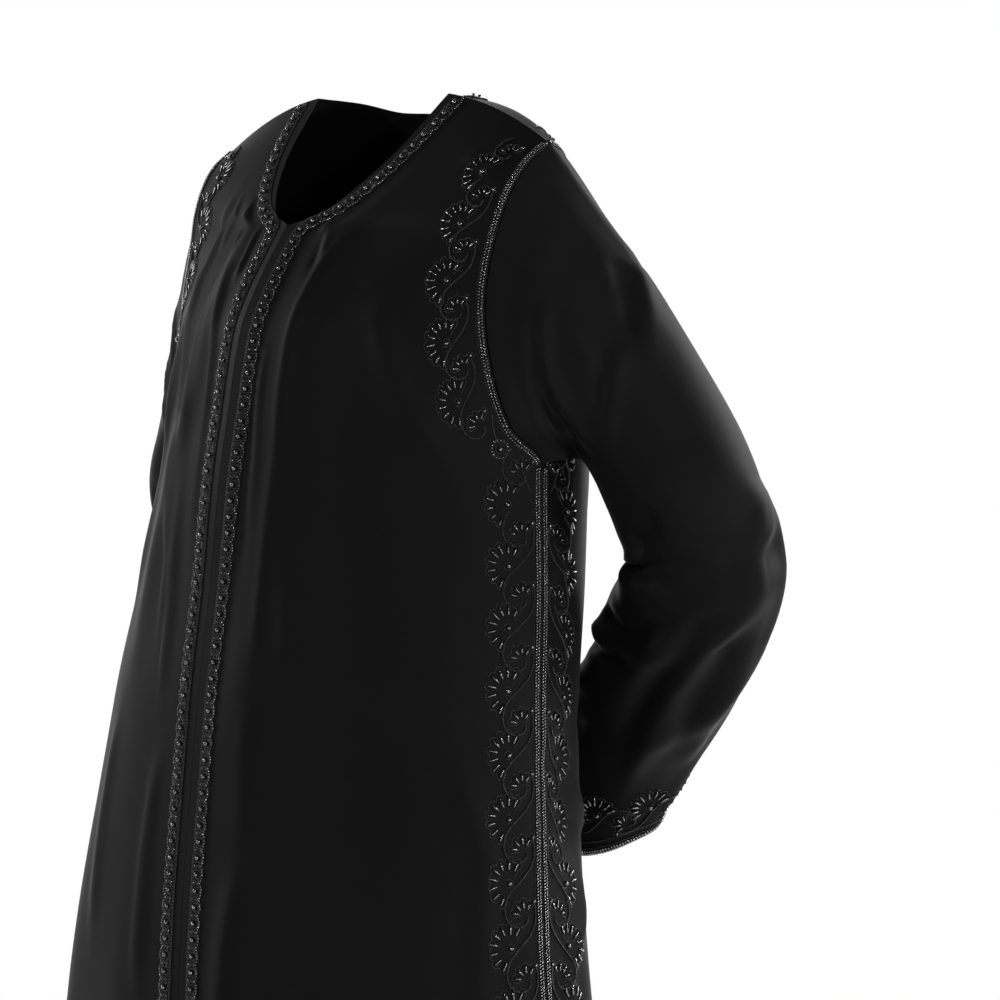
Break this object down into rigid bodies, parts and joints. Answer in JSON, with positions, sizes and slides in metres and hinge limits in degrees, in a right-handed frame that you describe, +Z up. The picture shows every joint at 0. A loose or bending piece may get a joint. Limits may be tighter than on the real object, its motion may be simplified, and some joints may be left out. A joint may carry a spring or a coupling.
{
  "type": "abaya cloak",
  "caption": "Full-length loose black crepe robe with set-in sleeves, a V neck closed down the front, and corded bead trim on its edges, held in its worn form.",
  "frame": {"origin": "between the high points of the two shoulder seams, where the wearer's shoulders and neck carry the robe", "axes": "+Z up, the front edges face -Y, the wearer's left side is +X"},
  "size_m": [0.7116, 0.453, 1.3844],
  "materials": {
    "crepe": "matt black crepe with a soft sheen",
    "corded_trim": "black cord and bead embroidery"
  },
  "bodies": {
    "root": {"left_front": "crepe", "right_front": "crepe", "back": "crepe", "left_sleeve": "crepe", "right_sleeve": "crepe", "left_front_trim": "corded_trim", "right_front_trim": "corded_trim", "back_neck_trim": "corded_trim", "left_cuff_trim": "corded_trim", "right_cuff_trim": "corded_trim"}
  },
  "joints": []
}
